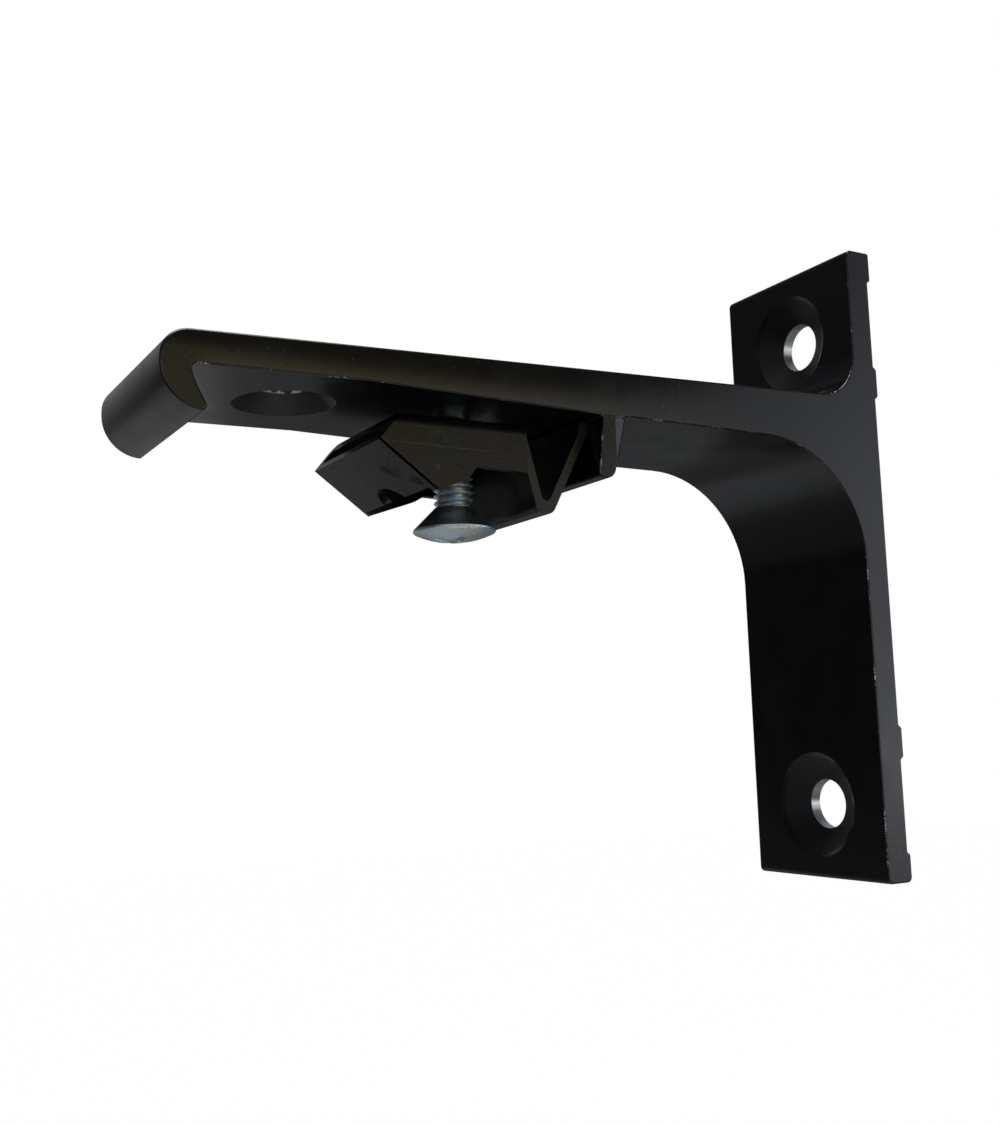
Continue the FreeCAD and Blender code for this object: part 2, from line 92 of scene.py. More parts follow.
# %% [markdown]
# ## Colours and nodes
#
# Colours are written as the hex values that a picture shows. Shaders work with linear light, so
# one function turns the one into the other. A second small function adds a node, sets its
# properties and fills its inputs. An input goes by its name, with underscores for spaces, or by
# an underscore and its number where several inputs share a name: a Math node has its values at
# 0, 1 and 2, a Mix node its factor at 0, plain values at 2 and 3 and colours at 6 and 7.

# %% Helpers for colours and nodes


def linear(hex_colour):
    """Turn an sRGB hex colour into linear red, green, blue and 1."""
    parts = [int(hex_colour[i:i + 2], 16) / 255 for i in (1, 3, 5)]
    light = [p / 12.92 if p <= 0.04045 else ((p + 0.055) / 1.055) ** 2.4 for p in parts]
    return tuple(light) + (1.0,)


def add(tree, kind, settings=None, **inputs):
    """Add a node, set its properties, then give each input a value or a link from a node."""
    node = tree.nodes.new("ShaderNode" + kind)
    for name, value in (settings or {}).items():
        setattr(node, name, value)
    for key, value in inputs.items():
        numbered = key[0] == "_"
        socket = node.inputs[int(key[1:]) if numbered else key.replace("_", " ")]
        if isinstance(value, bpy.types.Node):
            value = value.outputs[0]
        if isinstance(value, bpy.types.NodeSocket):
            tree.links.new(value, socket)
        else:
            socket.default_value = value
    return node


SMOOTH = {"interpolation_type": "SMOOTHSTEP"}
TIMES = {"operation": "MULTIPLY"}
TIMES_PLUS = {"operation": "MULTIPLY_ADD"}
PLUS = {"operation": "ADD"}
MINUS = {"operation": "SUBTRACT"}
LARGER = {"operation": "MAXIMUM"}
SMALLER = {"operation": "MINIMUM"}
SIZE_OF = {"operation": "ABSOLUTE"}
LENGTH = {"operation": "LENGTH"}
DISTANCE = {"operation": "DISTANCE"}
IN_COLOUR = {"data_type": "RGBA"}
print("mid grey #808080 is", round(linear("#808080")[0], 3), "in linear light")

# %% Materials, and places on the object


def new_material(name):
    """Make an empty material and return it with its node tree and its surface shader."""
    material = bpy.data.materials.new(name)
    material.use_nodes = True
    tree = material.node_tree
    tree.nodes.clear()
    shader = add(tree, "BsdfPrincipled")
    add(tree, "OutputMaterial", Surface=shader)
    return material, tree, shader


def places(tree):
    """Give the place in millimetres, whole and split, and the split direction of the surface."""
    where = add(tree, "TexCoord")
    object_place = where.outputs["Object"]
    mm = add(tree, "VectorMath", {"operation": "SCALE"}, _0=object_place, Scale=1 / MM)
    facing = add(tree, "SeparateXYZ", Vector=where.outputs["Normal"])
    return mm, add(tree, "SeparateXYZ", Vector=mm).outputs, facing.outputs


def wear_material(node_name, material):
    """Give a CAD node one material in all of its slots."""
    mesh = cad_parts[node_name].data
    mesh.materials.clear()
    mesh.materials.append(material)
    print(node_name, "wears", material.name)


# %% [markdown]
# ## The bracket's black coating
#
# Extruded aluminium is cut to length, then coated satin black. A satin coat is a dark dielectric:
# head on it gives back about four hundredths of the light, and much more at a flat angle, so most
# of what the eye sees is the surroundings in the sheen. The colour therefore stays near black and
# a soft roughness does the rest. The real grain of such a coat is about 0.1 mm; it is drawn at
# 0.35 mm so that it shows.

# %% What every satin black surface here has
CLOUD_MM, SHEEN_MM, GRAIN_MM = 6, 4, 0.35
DARKEST, LIGHTEST = "#060606", "#0a0a09"


def satin_black(tree, mm, smoothest, roughest):
    """Black that shifts over 6 mm, a sheen that shifts over 4 mm, and a grain for the bump."""
    cloud = add(tree, "TexNoise", Vector=mm, Scale=1 / CLOUD_MM, Detail=3.0)
    colour = add(tree, "Mix", IN_COLOUR, _0=cloud, _6=linear(DARKEST), _7=linear(LIGHTEST))
    sheen = add(tree, "TexNoise", Vector=mm, Scale=1 / SHEEN_MM, Detail=4.0)
    rough = add(tree, "MapRange", Value=sheen, From_Min=0.3, From_Max=0.7,
                To_Min=smoothest, To_Max=roughest)
    grain = add(tree, "TexNoise", Vector=mm, Scale=1 / GRAIN_MM, Detail=2.0)
    return colour.outputs[2], rough, grain


# %% [markdown]
# A saw leaves a cut face that isn't quite flat. On the arm it is crowned: the face leans up a
# little at the top edge and down at the bottom edge. Over five millimetres that is only some
# degrees, but a mirror doubles them, and the face fades from black at the top to the colour of
# the room below. The crown is a parabola in the height, given to a bump node in millimetres. It
# fades in along the arm. The rib under the arm has a strip on its wall side that rolls off.

# %% The crown of the cut faces
ARM_TOP, ARM_FALL = 18.28, 0.0247       # height of the arm's top at the wall, and fall per mm out
ARM_THICK, ARM_TAPER = 5.765, 0.0367    # the arm's thickness at the wall, and loss per mm out
CROWN = 0.30                            # slope of the crown from one edge to the other
CROWN_NONE, CROWN_FULL = -15.0, -45.0   # where along the arm the crown begins and is full
LEVEL_AT = 0.6                          # share of the thickness where the crown is level
NOSE_FROM, NOSE_FULL = -76.5, -80.0     # where the nose begins, and where it is all nose
RIB_BACK, RIB_STRIP = -36.3, 1.3        # where the rib's strip begins, and its width
RIB_DROP = -0.2                         # height that the strip loses over its width
RIB_END = RIB_BACK + RIB_STRIP + 0.4    # where the rib ends and the open corner begins
ARM_LOW, RIB_HIGH = 13.0, 12.4          # heights of the arm's lower edge and the rib's top


def crown_height(tree, place):
    """Thickness times slope times t times (0.6 - t / 2), with t running from the top edge down.

    The crown is level at t = 0.6, and on the nose it stays level from there down. The strip on
    the rib adds its drop, in proportion to the way across the strip.
    """
    y, z = place[1], place[2]
    thick = add(tree, "Math", TIMES_PLUS, _0=y, _1=ARM_TAPER, _2=ARM_THICK)
    top = add(tree, "Math", TIMES_PLUS, _0=y, _1=ARM_FALL, _2=ARM_TOP)
    down = add(tree, "Math", MINUS, _0=top, _1=z)
    t = add(tree, "Math", {"operation": "DIVIDE", "use_clamp": True}, _0=down, _1=thick)
    level = add(tree, "Math", SMALLER, _0=t, _1=LEVEL_AT)
    nose = add(tree, "MapRange", SMOOTH, Value=y, From_Min=NOSE_FROM, From_Max=NOSE_FULL)
    t = add(tree, "Mix", _0=nose, _2=t, _3=level)
    bend = add(tree, "Math", TIMES_PLUS, _0=t, _1=-0.5, _2=LEVEL_AT)
    shape = add(tree, "Math", TIMES, _0=t, _1=bend)
    size = add(tree, "Math", TIMES, _0=shape, _1=thick)
    slope = add(tree, "MapRange", SMOOTH, Value=y, From_Min=CROWN_NONE, From_Max=CROWN_FULL,
                To_Min=0.0, To_Max=CROWN)
    crown = add(tree, "Math", TIMES, _0=size, _1=slope)
    across = add(tree, "MapRange", Value=y, From_Min=RIB_BACK, From_Max=RIB_BACK + RIB_STRIP)
    before = add(tree, "MapRange", Value=y, From_Min=RIB_END + 0.1, From_Max=RIB_END)
    under = add(tree, "MapRange", SMOOTH, Value=z, From_Min=ARM_LOW, From_Max=RIB_HIGH)
    strip = add(tree, "Math", TIMES, _0=add(tree, "Math", TIMES, _0=across, _1=under), _1=before)
    return add(tree, "Math", TIMES_PLUS, _0=strip, _1=RIB_DROP, _2=crown)


# %% [markdown]
# The coat chips where the saw left a corner, and more so on the edges that hands and screwdrivers
# meet, those that look out or down. A chip needs three things at once: a place on such an edge, a
# worn patch of some millimetres, and in it a crumb of a quarter of a millimetre. Each is a number
# from 0 to 1, and their product is the amount of bare metal.

# %% Chips on the edges
PATCH_MM, CRUMB_MM = 2.5, 0.25
RIM_INSIDE, RIM_EDGE = 9.9, 10.0        # chips lie only beyond this distance from the middle
CHIPS_OUT, CHIPS_FULL = -79.5, -78.5    # none on the nose


def chipped_edges(tree, mm, place, facing):
    """Crumbs in patches, where a cut face turns to look out or down, but not on the nose."""
    side = add(tree, "Math", SIZE_OF, _0=facing[0])
    inner = add(tree, "MapRange", SMOOTH, Value=side, From_Min=0.15, From_Max=0.45)
    outer = add(tree, "MapRange", SMOOTH, Value=side, From_Min=0.97, From_Max=0.85)
    tilt = add(tree, "Math", PLUS, _0=facing[1], _1=facing[2])
    down = add(tree, "MapRange", SMOOTH, Value=tilt, From_Min=-0.1, From_Max=-0.4)
    patch = add(tree, "TexNoise", Vector=mm, Scale=1 / PATCH_MM, Detail=3.0)
    worn = add(tree, "MapRange", SMOOTH, Value=patch, From_Min=0.53, From_Max=0.63)
    crumbs = add(tree, "TexNoise", Vector=mm, Scale=1 / CRUMB_MM, Detail=2.0)
    fine = add(tree, "MapRange", SMOOTH, Value=crumbs, From_Min=0.47, From_Max=0.58)
    behind = add(tree, "MapRange", Value=place[1], From_Min=CHIPS_OUT, From_Max=CHIPS_FULL)
    aside = add(tree, "Math", SIZE_OF, _0=place[0])
    rim = add(tree, "MapRange", Value=aside, From_Min=RIM_INSIDE, From_Max=RIM_EDGE)
    amount = worn
    for part in (fine, behind, rim, inner, outer, down):
        amount = add(tree, "Math", TIMES, _0=amount, _1=part)
    return amount


# %% [markdown]
# The holes are drilled and countersunk after coating, so their walls are bare metal. The cone of
# the hole in the rail seat is coated but scraped near its upper end, where screws turned in it.
# All the countersinks are duller than the faces around them.

# %% Bare bores and countersinks
WALL_HOLE_RISE, WALL_BORE, WALL_SINK = 26.9, 2.75, 5.4  # height, and radii of hole and cone
ARM_HOLE_OUT, ARM_BORE, ARM_SINK = 66.85, 2.45, 4.9     # the same for the rail seat's hole
SCRAPE_MM = 0.7
SCRAPE_FROM, SCRAPE_FULL = 15.25, 15.4                  # heights in the cone, from below
SEAT_TOP = 16.4                                         # just under the arm's top face


def inside_circle(tree, across, along, radius):
    """1 within a radius of an axis and 0 outside, from the distances in two directions."""
    offset = add(tree, "CombineXYZ", X=across, Y=along)
    distance = add(tree, "VectorMath", LENGTH, _0=offset).outputs["Value"]
    return add(tree, "MapRange", Value=distance, From_Min=radius + 0.06, From_Max=radius + 0.03)


def from_holes(tree, place):
    """The height over a wall hole's axis, up or down, and the distance out from the arm's hole."""
    rise = add(tree, "Math", SIZE_OF, _0=place[2])
    height = add(tree, "Math", MINUS, _0=rise, _1=WALL_HOLE_RISE)
    return height, add(tree, "Math", PLUS, _0=place[1], _1=ARM_HOLE_OUT)


def bare_bores(tree, mm, place):
    """The walls of all three holes, and the scraped upper end of the rail seat's cone."""
    height, out = from_holes(tree, place)
    wall = inside_circle(tree, place[0], height, WALL_BORE)
    bore = inside_circle(tree, place[0], out, ARM_BORE)
    sink = inside_circle(tree, place[0], out, ARM_SINK - 0.5)
    high = add(tree, "MapRange", SMOOTH, Value=place[2],
               From_Min=SCRAPE_FROM, From_Max=SCRAPE_FULL)
    below = add(tree, "MapRange", Value=place[2], From_Min=SEAT_TOP + 0.1, From_Max=SEAT_TOP)
    scrape = add(tree, "TexNoise", Vector=mm, Scale=1 / SCRAPE_MM, Detail=3.0)
    scraped = add(tree, "MapRange", SMOOTH, Value=scrape, From_Min=0.47, From_Max=0.57)
    for part in (sink, high, below):
        scraped = add(tree, "Math", TIMES, _0=scraped, _1=part)
    bores = add(tree, "Math", LARGER, _0=wall, _1=bore)
    return add(tree, "Math", LARGER, _0=bores, _1=scraped)


def sink_cones(tree, place, facing):
    """1 on the countersinks, where the surface near a hole is neither level nor upright."""
    height, out = from_holes(tree, place)
    wall = inside_circle(tree, place[0], height, WALL_SINK)
    arm = inside_circle(tree, place[0], out, ARM_SINK)
    flattest = add(tree, "Math", SIZE_OF, _0=facing[1])
    for part in (facing[0], facing[2]):
        size = add(tree, "Math", SIZE_OF, _0=part)
        flattest = add(tree, "Math", LARGER, _0=flattest, _1=size)
    slanted = add(tree, "MapRange", Value=flattest, From_Min=0.95, From_Max=0.90)
    near = add(tree, "Math", LARGER, _0=wall, _1=arm)
    return add(tree, "Math", TIMES, _0=near, _1=slanted)


# %% Dust
DUST_CELL_MM = 0.8


def dust(tree, mm):
    """Round specks 0.15 mm wide, one for each cell of 0.8 mm whose random number is high."""
    cells = add(tree, "TexVoronoi", Vector=mm, Scale=1 / DUST_CELL_MM)
    away = cells.outputs["Distance"]
    speck = add(tree, "MapRange", Value=away, From_Min=0.11, From_Max=0.07)
    number = add(tree, "SeparateXYZ", Vector=cells.outputs["Color"])
    chosen = add(tree, "MapRange", Value=number, From_Min=0.84, From_Max=0.86)
    return add(tree, "Math", TIMES, _0=speck, _1=chosen)


# %% The bracket's finish
DUST_GREY, BARE_ALUMINIUM = "#3a3a38", "#b7bab9"
COAT_SMOOTHEST, COAT_ROUGHEST, SINK_DULLER = 0.18, 0.27, 0.25
COAT_GRAIN_HEIGHT = 0.008               # millimetres


def coated_aluminium(name):
    """Satin black coat with dust, chips on the edges, bare bores and the saw cut's crown."""
    material, tree, shader = new_material(name)
    mm, place, facing = places(tree)
    colour, coat_rough, grain = satin_black(tree, mm, COAT_SMOOTHEST, COAT_ROUGHEST)
    cones = sink_cones(tree, place, facing)
    rough = add(tree, "Math", TIMES_PLUS, _0=cones, _1=SINK_DULLER, _2=coat_rough)
    dusty = add(tree, "Mix", IN_COLOUR, _0=dust(tree, mm), _6=colour, _7=linear(DUST_GREY))
    chips = chipped_edges(tree, mm, place, facing)
    bare = add(tree, "Math", LARGER, _0=chips, _1=bare_bores(tree, mm, place))
    shown = add(tree, "Mix", IN_COLOUR, _0=bare, _6=dusty.outputs[2], _7=linear(BARE_ALUMINIUM))
    grain_mm = add(tree, "Math", TIMES, _0=grain, _1=COAT_GRAIN_HEIGHT)
    grained = add(tree, "Bump", Height=grain_mm, Strength=1.0, Distance=MM)
    side = add(tree, "Math", SIZE_OF, _0=facing[0])
    cut_face = add(tree, "MapRange", SMOOTH, Value=side, From_Min=0.6, From_Max=0.95)
    crowned = add(tree, "Bump", Height=crown_height(tree, place), Strength=cut_face,
                  Distance=MM, Normal=grained)
    tree.links.new(shown.outputs[2], shader.inputs["Base Color"])
    tree.links.new(rough.outputs[0], shader.inputs["Roughness"])
    tree.links.new(bare.outputs[0], shader.inputs["Metallic"])
    tree.links.new(crowned.outputs[0], shader.inputs["Normal"])
    return material


wear_material("bracket", coated_aluminium("satin_black_coated_aluminium"))

# %% [markdown]
# ## The clamp's paint
#
# The clamp is folded from 0.9 mm steel sheet and painted black. The paint is thin on the sheared
# edges of the sheet, and their grey also holds a painted highlight. The faces carry rubbed spots,
# a dent and one long scratch from the rail.
# The marks are laid at the places where the photograph shows them.

# %% Where the marks are, in millimetres
CLAMP_NEAR, FLANGE_BACK = 7.8, -45.1    # x of the near flange, y of the flanges' back edge
SCRATCH_FROM, SCRATCH_TO = (-60.9, 8.97), (-47.9, 8.71)                 # y and z of its ends
SCRATCH_HALF, SCRATCH_CORE, SCRATCH_END = 0.08, 0.03, 3.0               # widths, and soft end
SMUDGES = (((7.8, -54.0, 8.9), 2.2), ((4.1, -58.0, 7.1), 1.9), ((6.2, -56.2, 5.7), 1.3))
SMUDGE_CORE, SMUDGE_NOISE_MM = 0.3, 1.2                                 # share of the radius
DENT, DENT_RADIUS, DENT_CORE = (7.8, -54.8, 6.8), 0.35, 0.15
print(len(SMUDGES), "rubbed spots, one dent and one scratch")

# %% Marks on the paint


def rubbed_spots(tree, mm):
    """Soft round spots about the centres in the list, broken up by a noise of 1.2 mm."""
    total = None
    for centre, radius in SMUDGES:
        away = add(tree, "VectorMath", DISTANCE, _0=mm, _1=centre).outputs["Value"]
        spot = add(tree, "MapRange", SMOOTH, Value=away,
                   From_Min=radius, From_Max=SMUDGE_CORE * radius)
        total = spot if total is None else add(tree, "Math", LARGER, _0=total, _1=spot)
    broken = add(tree, "TexNoise", Vector=mm, Scale=1 / SMUDGE_NOISE_MM, Detail=3.0)
    speckle = add(tree, "MapRange", SMOOTH, Value=broken, From_Min=0.35, From_Max=0.6)
    return add(tree, "Math", TIMES, _0=total, _1=speckle)


def scratch_line(tree, place):
    """A thin line on the near flange, where z is near the straight line through its ends."""
    (y0, z0), (y1, z1) = SCRATCH_FROM, SCRATCH_TO
    slope = (z1 - z0) / (y1 - y0)
    line = add(tree, "Math", TIMES_PLUS, _0=place[1], _1=slope, _2=z0 - slope * y0)
    off = add(tree, "Math", SIZE_OF, _0=add(tree, "Math", MINUS, _0=place[2], _1=line))
    thin = add(tree, "MapRange", SMOOTH, Value=off, From_Min=SCRATCH_HALF, From_Max=SCRATCH_CORE)
    near = add(tree, "MapRange", Value=place[0],
               From_Min=CLAMP_NEAR - 0.1, From_Max=CLAMP_NEAR - 0.05)
    begun = add(tree, "MapRange", SMOOTH, Value=place[1],
                From_Min=y1, From_Max=y1 - SCRATCH_END)
    return add(tree, "Math", TIMES, _0=add(tree, "Math", TIMES, _0=thin, _1=near), _1=begun)


def sheared_edges(tree, place, facing):
    """1 on the sides of the V, behind the flanges, where the surface looks along X."""
    side = add(tree, "Math", SIZE_OF, _0=facing[0])
    flat = add(tree, "MapRange", Value=side, From_Min=0.8, From_Max=0.9)
    behind = add(tree, "MapRange", Value=place[1],
                 From_Min=FLANGE_BACK, From_Max=FLANGE_BACK + 0.1)
    return add(tree, "Math", TIMES, _0=flat, _1=behind)


# %% Scuffed black paint on steel
# The first colour is the sheared edges' grey: thin paint, with a painted highlight on it.
THIN_PAINT_AND_HIGHLIGHT, MARK_GREY = "#1f1f1c", "#30302c"
PAINT_SMOOTHEST, PAINT_ROUGHEST, RUBBED_DULLER = 0.22, 0.32, 0.45
PAINT_SPECULAR = 0.42
PAINT_GRAIN_HEIGHT = 0.015              # millimetres


def painted_steel(name):
    """Satin black paint, greyer on sheared edges, with rubbed spots, a scratch and a dent."""
    material, tree, shader = new_material(name)
    mm, place, facing = places(tree)
    colour, rough, grain = satin_black(tree, mm, PAINT_SMOOTHEST, PAINT_ROUGHEST)
    # The sheared edges are mixed to a lighter grey: thin paint, and a painted highlight.
    edges = sheared_edges(tree, place, facing)
    thin = add(tree, "Mix", IN_COLOUR, _0=edges, _6=colour, _7=linear(THIN_PAINT_AND_HIGHLIGHT))
    away = add(tree, "VectorMath", DISTANCE, _0=mm, _1=DENT).outputs["Value"]
    dent = add(tree, "MapRange", SMOOTH, Value=away, From_Min=DENT_RADIUS, From_Max=DENT_CORE)
    marks = add(tree, "Math", LARGER, _0=scratch_line(tree, place), _1=dent)
    pale = add(tree, "Mix", IN_COLOUR, _0=marks, _6=thin.outputs[2], _7=linear(MARK_GREY))
    duller = add(tree, "MapRange", Value=rubbed_spots(tree, mm), To_Min=0.0, To_Max=RUBBED_DULLER)
    matt = add(tree, "Math", PLUS, _0=rough, _1=duller)
    grain_mm = add(tree, "Math", TIMES, _0=grain, _1=PAINT_GRAIN_HEIGHT)
    bump = add(tree, "Bump", Height=grain_mm, Strength=1.0, Distance=MM)
    shader.inputs["Specular IOR Level"].default_value = PAINT_SPECULAR
    tree.links.new(pale.outputs[2], shader.inputs["Base Color"])
    tree.links.new(matt.outputs[0], shader.inputs["Roughness"])
    tree.links.new(bump.outputs[0], shader.inputs["Normal"])
    return material


wear_material("clamp", painted_steel("scuffed_black_painted_steel"))

# %% [markdown]
# ## The clamp screw
#
# The screw is an M4 machine screw with a raised countersunk head and a cross recess. Its thread
# is a helix: at each height the radius swings between the crest and the root once per pitch of
# 0.7 mm, and a full turn shifts that swing by one pitch. That is a surface of two parameters, the
# turn and the height, so it is worked out on a grid. The head is the same kind of surface, a
# profile turned about the axis.

# %% Grids of points become meshes


def grid_faces(rows, columns, closed=True):
    """Corner numbers of the quads between neighbouring rows and columns of a grid."""
    across = columns if closed else columns - 1
    r, c = np.meshgrid(np.arange(rows - 1), np.arange(across), indexing="ij")
    here, below = r * columns, (r + 1) * columns
    after = (c + 1) % columns
    return np.stack([here + c, here + after, below + after, below + c], -1).reshape(-1, 4)


def make_piece(name, points_mm, quads, material):
    """Turn points in millimetres and quads into a mesh object whose place is in its mesh."""
    mesh = bpy.data.meshes.new(name)
    mesh.from_pydata((points_mm * MM).tolist(), [], quads.tolist())
    mesh.validate()
    mesh.materials.append(material)
    piece = bpy.data.objects.new(name, mesh)
    bpy.context.scene.collection.objects.link(piece)
    return piece


# %% The screw's sizes, from the box of its plain solid
screw_low, screw_high = (np.array(corner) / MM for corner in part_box("clamp_screw"))
AXIS_OUT = -(screw_low[1] + screw_high[1]) / 2
SCREW_TOP, HEAD_BOTTOM = screw_high[2], screw_low[2]
HEAD_RADIUS = (screw_high[1] - screw_low[1]) / 2
SHANK_RADIUS, PITCH, THREAD_DEPTH = 2.0, 0.7, 0.43
DOME_RISE, RIM_LAND, CORNER = 0.94, 0.3, 0.06
RIM = HEAD_BOTTOM + DOME_RISE
CONE_BASE = RIM + RIM_LAND
CONE_TOP = CONE_BASE + HEAD_RADIUS - SHANK_RADIUS
RECESS_SPAN, RECESS_SLOT, RECESS_DEPTH = 2.1, 0.45, 1.5
RECESS_WALL, RECESS_FALL = 0.16, 0.4    # width of its sloping wall, and loss of depth per mm out
print("screw axis", round(AXIS_OUT, 2), "mm out, head radius", round(HEAD_RADIUS, 2), "mm")

# %% The thread and the recess
CREST_SHARE = 0.125                     # share of the swing that is cut off at crest and at root
TIP_BEVEL, TIP_SHARE = 0.5, 0.5         # height of the tip's bevel, and radius left at its end
RUN_OUT = 0.3                           # height over which the thread grows out of the head


def thread_radius(turn, height):
    """Crest radius less the depth times a flat-topped wave of height over pitch minus turns."""
    phase = (height / PITCH - turn / (2 * np.pi)) % 1.0
    swing = np.abs(phase - 0.5) * 2
    wave = np.clip(swing * (1 + 2 * CREST_SHARE) - CREST_SHARE, 0, 1)
    run_out = np.clip((height - CONE_TOP) / RUN_OUT, 0, 1)
    bevel = np.clip((SCREW_TOP - height) / TIP_BEVEL, 0, 1) * (1 - TIP_SHARE) + TIP_SHARE
    at_tip = height > SCREW_TOP - TIP_BEVEL
    return (SHANK_RADIUS - THREAD_DEPTH * wave * run_out) * np.where(at_tip, bevel, 1.0)


def recess_depth(r, turn):
    """Depth of the cross: 0 outside its two slots, and inside them falling off outwards."""
    x, y = np.abs(r * np.cos(turn)), np.abs(r * np.sin(turn))
    along_x = np.maximum(x - RECESS_SPAN, y - RECESS_SLOT)
    along_y = np.maximum(y - RECESS_SPAN, x - RECESS_SLOT)
    inside = np.clip(-np.minimum(along_x, along_y) / RECESS_WALL, 0, 1)
    return inside * np.clip(RECESS_DEPTH - RECESS_FALL * r, 0, None)


# %% The whole screw as one surface
COLUMNS, THREAD_STEP, DOME_RINGS = 96, 0.05, 60


def screw_surface():
    """Rings from the tip down: the flat end, the thread, the cone, the rim and the raised dome.

    The dome is a part of a ball. The radius of the ball is the head's radius squared plus the
    rise squared, over twice the rise. The recess is pressed into the dome.
    """
    turn = np.linspace(0, 2 * np.pi, COLUMNS, endpoint=False)
    turns, levels = np.meshgrid(turn, np.arange(SCREW_TOP, CONE_TOP, -THREAD_STEP))
    flat_end = np.full((1, COLUMNS), 0.001)
    profile = np.array([
        (SHANK_RADIUS, CONE_TOP),
        (0.7 * HEAD_RADIUS, CONE_BASE + 0.3 * HEAD_RADIUS),
        (HEAD_RADIUS - CORNER, CONE_BASE + CORNER),
        (HEAD_RADIUS - 0.3 * CORNER, CONE_BASE + 0.2 * CORNER),
        (HEAD_RADIUS, CONE_BASE - CORNER),
        (HEAD_RADIUS, RIM + CORNER),
        (HEAD_RADIUS - CORNER, RIM),
    ])
    ball = (HEAD_RADIUS ** 2 + DOME_RISE ** 2) / (2 * DOME_RISE)
    rings = np.linspace(HEAD_RADIUS - CORNER, 0, DOME_RINGS)[1:]
    r, t = np.meshgrid(rings, turn, indexing="ij")
    dome = HEAD_BOTTOM + ball - np.sqrt(ball ** 2 - r ** 2) + recess_depth(r, t)
    radii = [flat_end, thread_radius(turns, levels), np.repeat(profile[:, :1], COLUMNS, 1), r]
    heights = [np.full((1, COLUMNS), SCREW_TOP), levels,
               np.repeat(profile[:, 1:], COLUMNS, 1), dome]
    r, z = np.concatenate(radii), np.concatenate(heights)
    t = np.repeat(turn[None, :], len(r), 0)
    points = np.stack([r * np.cos(t), r * np.sin(t) - AXIS_OUT, z], -1).reshape(-1, 3)
    return points, grid_faces(len(r), COLUMNS)[:, ::-1]


# %% [markdown]
# Zinc plating is bright, but it clouds: it turns a little blue and a little yellow in patches of
# a millimetre or two, and it is stained and duller in small specks.

# %% Zinc plating
TINT_MM, SPECK_MM = 1.5, 0.3
BLUE_ZINC, YELLOW_ZINC, STAIN, MOST_STAIN = "#cfe3f2", "#e4ebdc", "#7b8280", 0.4
ZINC_SMOOTHEST, ZINC_ROUGHEST = 0.28, 0.46
ZINC_GRAIN_HEIGHT = 0.015               # millimetres


def zinc_plating(name):
    """Bright zinc with a faint blue and yellow tint that changes over 1.5 mm, and dull specks."""
    material, tree, shader = new_material(name)
    mm, _, _ = places(tree)
    cloud = add(tree, "TexNoise", Vector=mm, Scale=1 / TINT_MM, Detail=3.0)
    tint = add(tree, "ValToRGB", _0=cloud)
    ends = tint.color_ramp.elements
    ends[0].position, ends[0].color = 0.35, linear(BLUE_ZINC)
    ends[1].position, ends[1].color = 0.65, linear(YELLOW_ZINC)
    specks = add(tree, "TexNoise", Vector=mm, Scale=1 / SPECK_MM, Detail=3.0)
    dark = add(tree, "MapRange", SMOOTH, Value=specks, From_Min=0.52, From_Max=0.68,
               To_Min=0.0, To_Max=MOST_STAIN)
    stained = add(tree, "Mix", IN_COLOUR, _0=dark, _6=tint, _7=linear(STAIN))
    rough = add(tree, "MapRange", Value=specks, From_Min=0.3, From_Max=0.7,
                To_Min=ZINC_SMOOTHEST, To_Max=ZINC_ROUGHEST)
    grain = add(tree, "Math", TIMES, _0=specks, _1=ZINC_GRAIN_HEIGHT)
    bump = add(tree, "Bump", Height=grain, Strength=1.0, Distance=MM)
    shader.inputs["Metallic"].default_value = 1.0
    tree.links.new(stained.outputs[2], shader.inputs["Base Color"])
    tree.links.new(rough.outputs[0], shader.inputs["Roughness"])
    tree.links.new(bump.outputs[0], shader.inputs["Normal"])
    return material


# %% The screw
points, quads = screw_surface()
zinc = zinc_plating("zinc_plated_steel")
threaded_screw = make_piece("threaded_screw", points, quads, zinc)
threaded_screw.data.polygons.foreach_set("use_smooth", [True] * len(threaded_screw.data.polygons))
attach(threaded_screw, "clamp_screw")
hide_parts("clamp_screw")
print("threaded_screw:", len(quads), "quads")

# %% [markdown]
# ## Floor and light
#
# A wall bracket hangs in the air, so the pale floor lies well below it. A soft panel overhead
# makes a pool of light on the floor, which lights the object from below. Satin black shows little
# else than its surroundings, so the room's sides matter: on the right they are fairly bright up
# to about eye height, warm to the front and cool to the back, and on the left they are dark.
# Three more soft panels stand beside the object. The left one shows in the nose, the right one
# low down in the cut face of the plate, and a small card in the head of the screw. Where the
# camera looks past the object the room is plain white, and so is the floor.

# %% Floor
FLOOR_HEIGHT, FLOOR_SIDE = -300.0, 6000.0       # millimetres
FLOOR_GLOW = 0.9                                # shown to the camera only


def floor_sheet():
    """A level square of four points at the floor's height."""
    side = np.linspace(-FLOOR_SIDE / 2, FLOOR_SIDE / 2, 2)
    x, y = np.meshgrid(side, side, indexing="ij")
    return np.stack([x, y, np.full_like(x, FLOOR_HEIGHT)], -1).reshape(-1, 3)


floor_paint, tree, shader = new_material("pale_studio_floor")
shader.inputs["Base Color"].default_value = linear("#f4f4f2")
shader.inputs["Roughness"].default_value = 0.9
shader.inputs["Specular IOR Level"].default_value = 0.0
seen = add(tree, "LightPath").outputs["Is Camera Ray"]
glow = add(tree, "Math", TIMES, _0=seen, _1=FLOOR_GLOW)
shader.inputs["Emission Color"].default_value = (1, 1, 1, 1)
tree.links.new(glow.outputs[0], shader.inputs["Emission Strength"])
floor = make_piece("studio_floor", floor_sheet(), grid_faces(2, 2, closed=False), floor_paint)
print("floor", -FLOOR_HEIGHT, "mm below the middle of the plate")

